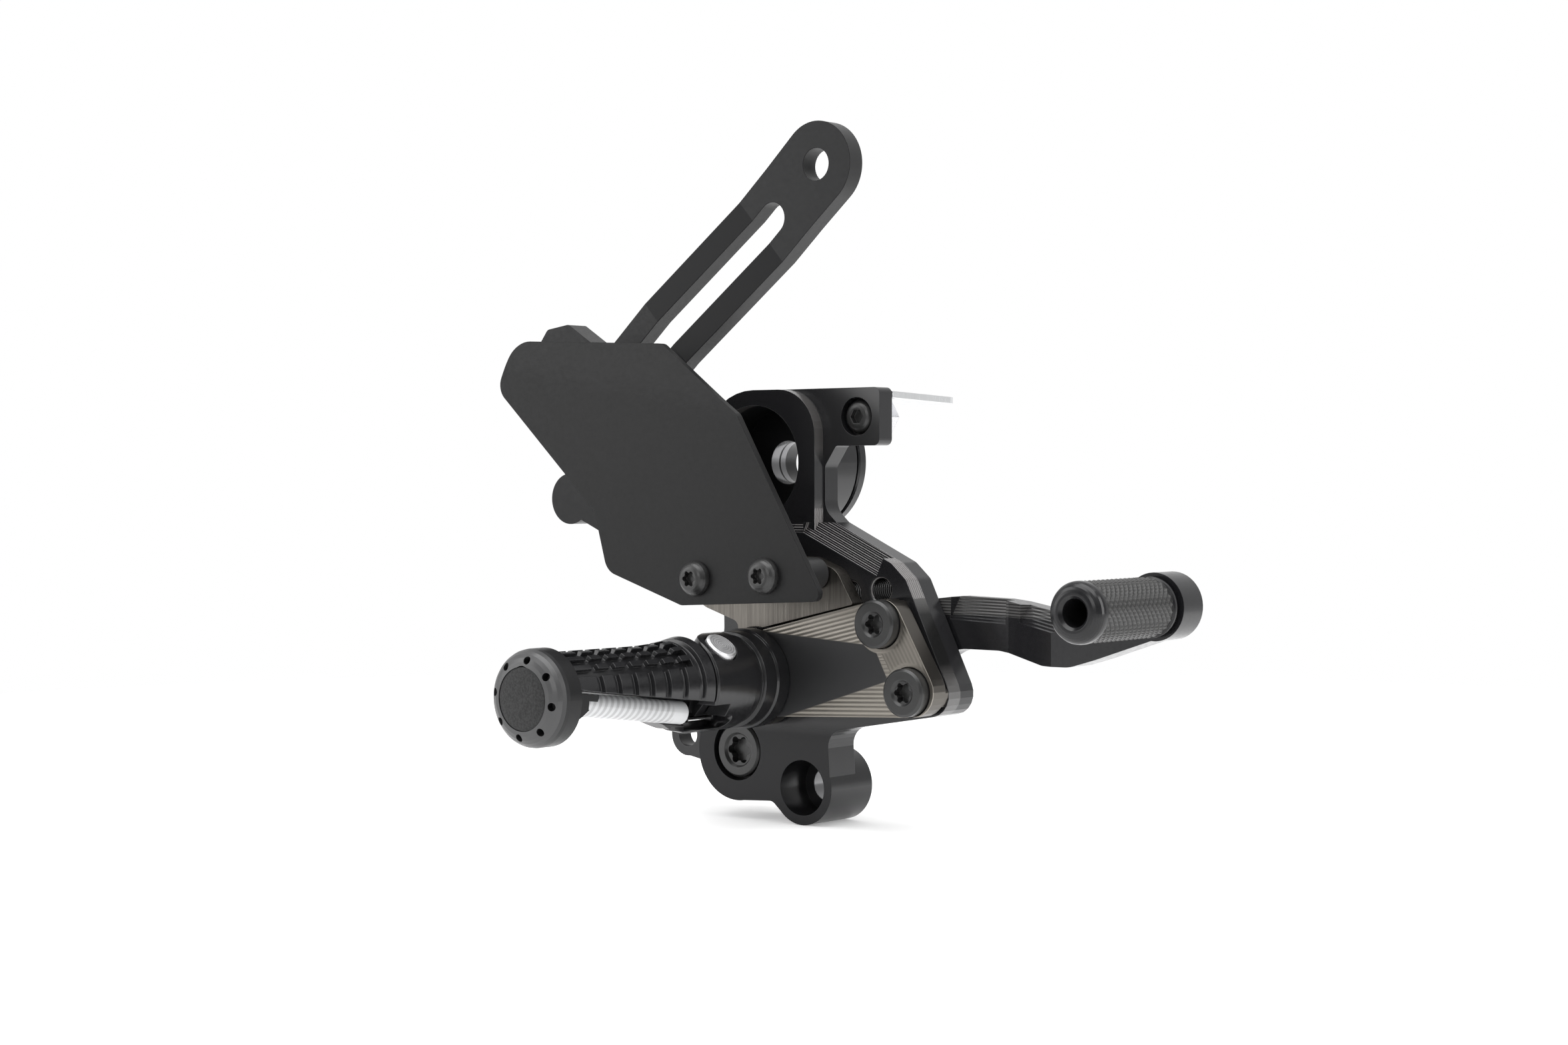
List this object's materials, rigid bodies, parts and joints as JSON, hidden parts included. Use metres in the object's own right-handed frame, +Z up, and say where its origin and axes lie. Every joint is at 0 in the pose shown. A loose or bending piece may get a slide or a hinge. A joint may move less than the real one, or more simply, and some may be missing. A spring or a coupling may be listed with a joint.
{
  "type": "motorcycle rear set footrest",
  "caption": "Milled black base plate carrying a folding toothed footpeg on a bronze carrier, a heel guard, a slotted hanger arm and a jogged brake lever with a knurled toe peg.",
  "frame": {"origin": "axis of the lower frame bolt's hole, level with the base plate's back face", "axes": "+X forward along the motorcycle, -Y outboard towards the rider's foot, +Z up"},
  "size_m": [0.2434, 0.1523, 0.2112],
  "materials": {
    "plate_black": "black anodised, fine blasted",
    "strip_silver": "brushed silver",
    "screw_black": "black oxide",
    "steel_zinc": "zinc plated",
    "arm_black": "black anodised, satin",
    "bracket_bronze": "bronze anodised, brushed",
    "guard_black": "matte black",
    "carrier_bronze": "bronze anodised, blasted",
    "peg_black": "black anodised, fine turned",
    "pin_silver": "turned steel",
    "spring_steel": "bright wire",
    "sleeve_clear": "clear",
    "knob_plastic": "satin black",
    "insert_plastic": "grained dark grey",
    "lever_black": "black anodised, satin",
    "bush_bronze": "plain bearing bronze"
  },
  "bodies": {
    "plate": {"base_plate": "plate_black", "upper_spacer": "plate_black", "angle_strip": "strip_silver", "tab_screw": "screw_black", "tab_nut": "steel_zinc", "rear_bracket": "arm_black", "rear_bracket_screws": "screw_black", "hanger_arm": "arm_black", "hanger_bolt": "screw_black", "hanger_washer": "steel_zinc", "hanger_nut": "steel_zinc", "guard_bracket": "bracket_bronze", "guard_spacers": "arm_black", "heel_guard": "guard_black", "guard_screws": "screw_black", "peg_carrier": "carrier_bronze", "carrier_screws": "screw_black", "clevis_bolt": "steel_zinc", "peg_clevis": "peg_black", "hinge_pin": "pin_silver", "pin_clip": "spring_steel", "spring_hook": "spring_steel", "pivot_screw": "screw_black", "thrust_washers": "bush_bronze", "pivot_nut": "steel_zinc"},
    "peg": {"peg_body": "peg_black", "slider_knob": "knob_plastic", "slider_screw": "steel_zinc", "knob_insert": "insert_plastic", "return_spring": "spring_steel", "spring_sleeve": "sleeve_clear"},
    "brake_pedal": {"brake_lever": "lever_black", "pivot_bush": "bush_bronze", "toe_peg": "peg_black", "toe_ring": "knob_plastic", "toe_screw": "screw_black"}
  },
  "joints": [
    {"name": "peg_fold", "type": "hinge", "parent": "plate", "child": "peg", "pos_m": [-0.0135, -0.0445, 0.033], "axis": [-0.6293, 0, -0.7771], "range_deg": [0, 65], "stiffness_Nm_per_rad": 0.6, "springref_deg": -28.65},
    {"name": "lever_pivot", "type": "hinge", "parent": "plate", "child": "brake_pedal", "pos_m": [-0.0254, 0.007, 0.0097], "axis": [0, 1, 0], "range_deg": [0, 8], "stiffness_Nm_per_rad": 8, "springref_deg": -8.59}
  ]
}
